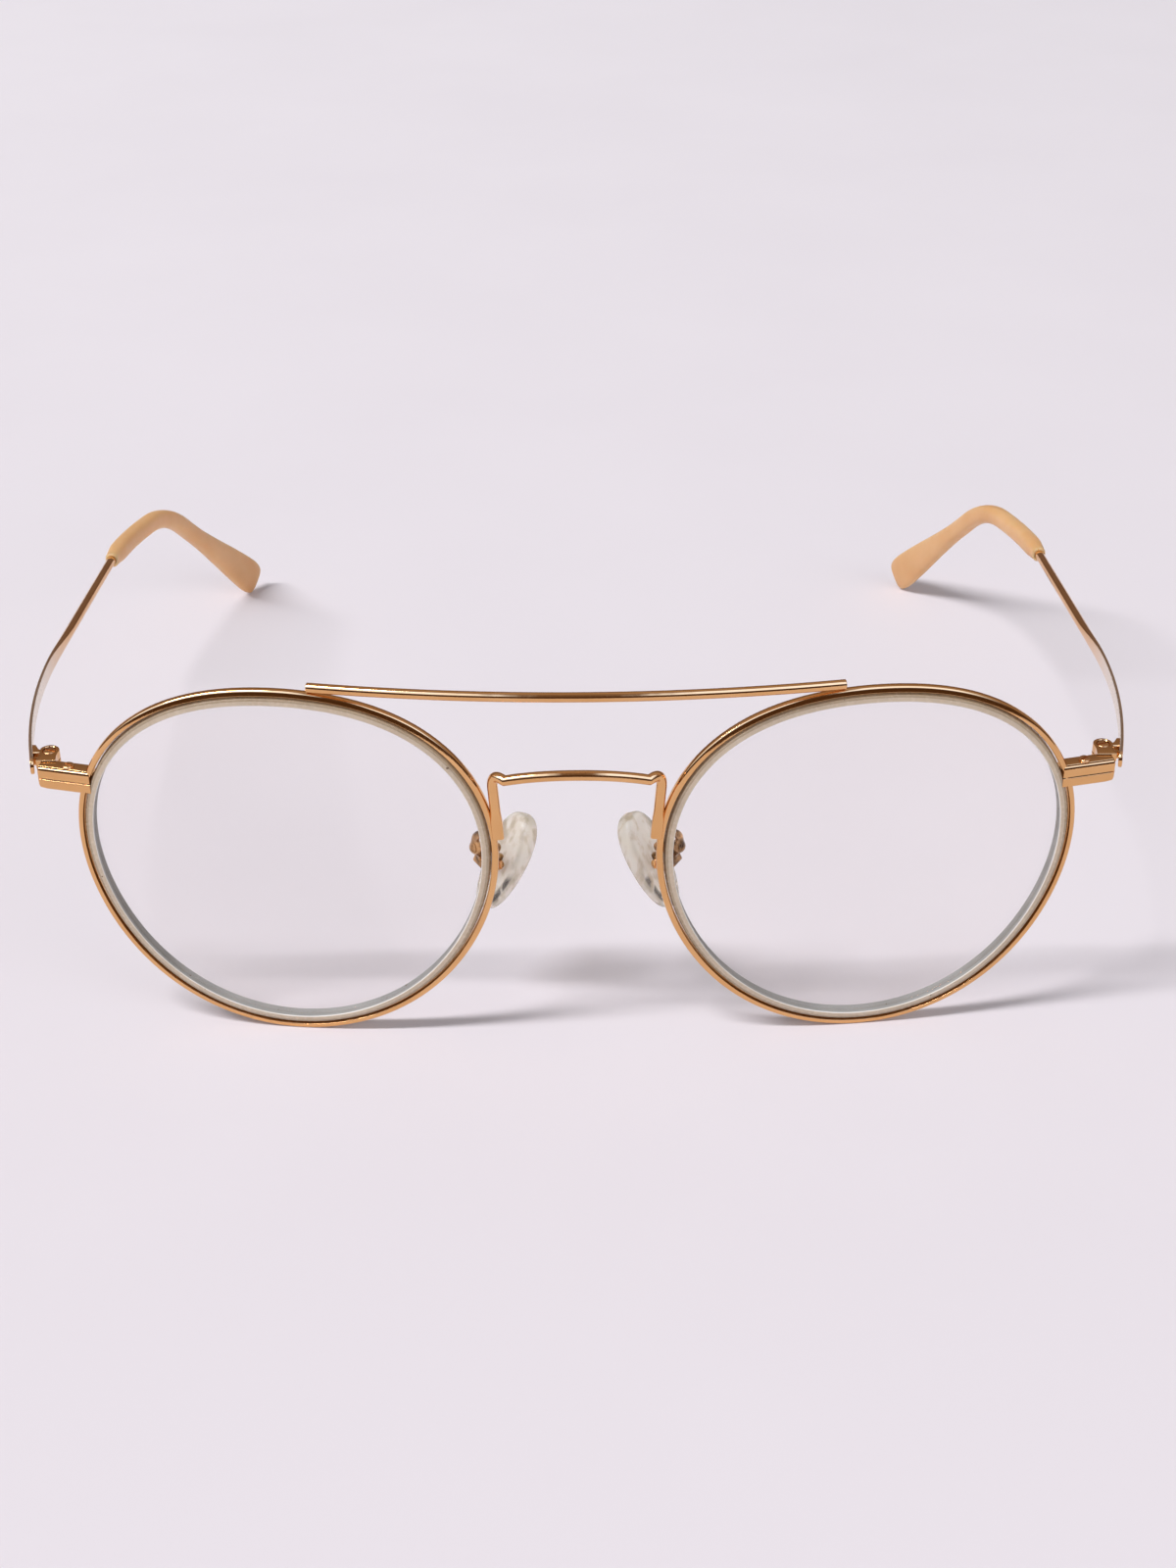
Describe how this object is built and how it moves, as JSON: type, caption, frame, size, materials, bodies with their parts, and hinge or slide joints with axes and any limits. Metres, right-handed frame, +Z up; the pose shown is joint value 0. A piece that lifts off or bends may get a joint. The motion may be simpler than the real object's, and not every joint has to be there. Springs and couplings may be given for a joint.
{
  "type": "round metal eyeglasses",
  "caption": "Round eyeglasses with slim polished rims, a brow bar over a wire bridge, clear lenses in grey plastic rings, folding temples with moulded ear tips and rocking nose pads.",
  "frame": {"origin": "middle of the footprint on the table that the open glasses stand on", "axes": "+X to the right of the picture across the front, +Y back along the temples, +Z up"},
  "size_m": [0.1482, 0.1386, 0.0524],
  "materials": {
    "rose_gold": "polished rose gold plate",
    "screw_gold": "turned and plated",
    "ring_plastic": "translucent grey-beige, glossy",
    "lens_clear": "clear, polished",
    "tip_plastic": "caramel, satin",
    "pad_silicone": "clear ivory silicone"
  },
  "bodies": {
    "front": {"brow_bar": "rose_gold", "bridge": "rose_gold", "left_rim": "rose_gold", "left_inner_ring": "ring_plastic", "left_lens": "lens_clear", "left_block_upper": "rose_gold", "left_block_lower": "rose_gold", "left_rim_screw": "screw_gold", "left_hinge_screw": "screw_gold", "left_pad_box": "rose_gold", "left_pad_screw": "screw_gold", "left_pad_arm": "rose_gold", "right_rim": "rose_gold", "right_inner_ring": "ring_plastic", "right_lens": "lens_clear", "right_block_upper": "rose_gold", "right_block_lower": "rose_gold", "right_rim_screw": "screw_gold", "right_hinge_screw": "screw_gold", "right_pad_box": "rose_gold", "right_pad_screw": "screw_gold", "right_pad_arm": "rose_gold"},
    "left_temple": {"left_temple_knuckle": "rose_gold", "left_temple": "rose_gold", "left_temple_tip": "tip_plastic"},
    "right_temple": {"right_temple_knuckle": "rose_gold", "right_temple": "rose_gold", "right_temple_tip": "tip_plastic"},
    "left_nose_pad": {"left_nose_pad": "pad_silicone"},
    "right_nose_pad": {"right_nose_pad": "pad_silicone"}
  },
  "joints": [
    {"name": "left_temple_fold", "type": "hinge", "parent": "front", "child": "left_temple", "pos_m": [-0.066, -0.05729, 0.03698], "axis": [0, 0.0304, -0.9995], "range_deg": [0, 85]},
    {"name": "right_temple_fold", "type": "hinge", "parent": "front", "child": "right_temple", "pos_m": [0.066, -0.05729, 0.03698], "axis": [0, -0.0304, 0.9995], "range_deg": [0, 76]},
    {"name": "left_pad_rock", "type": "hinge", "parent": "front", "child": "left_nose_pad", "pos_m": [-0.01104, -0.05765, 0.02237], "axis": [-0.5, 0.8656, 0.0263], "range_deg": [-10, 10]},
    {"name": "right_pad_rock", "type": "hinge", "parent": "front", "child": "right_nose_pad", "pos_m": [0.01104, -0.05765, 0.02237], "axis": [0.5, 0.8656, 0.0263], "range_deg": [-10, 10]}
  ]
}
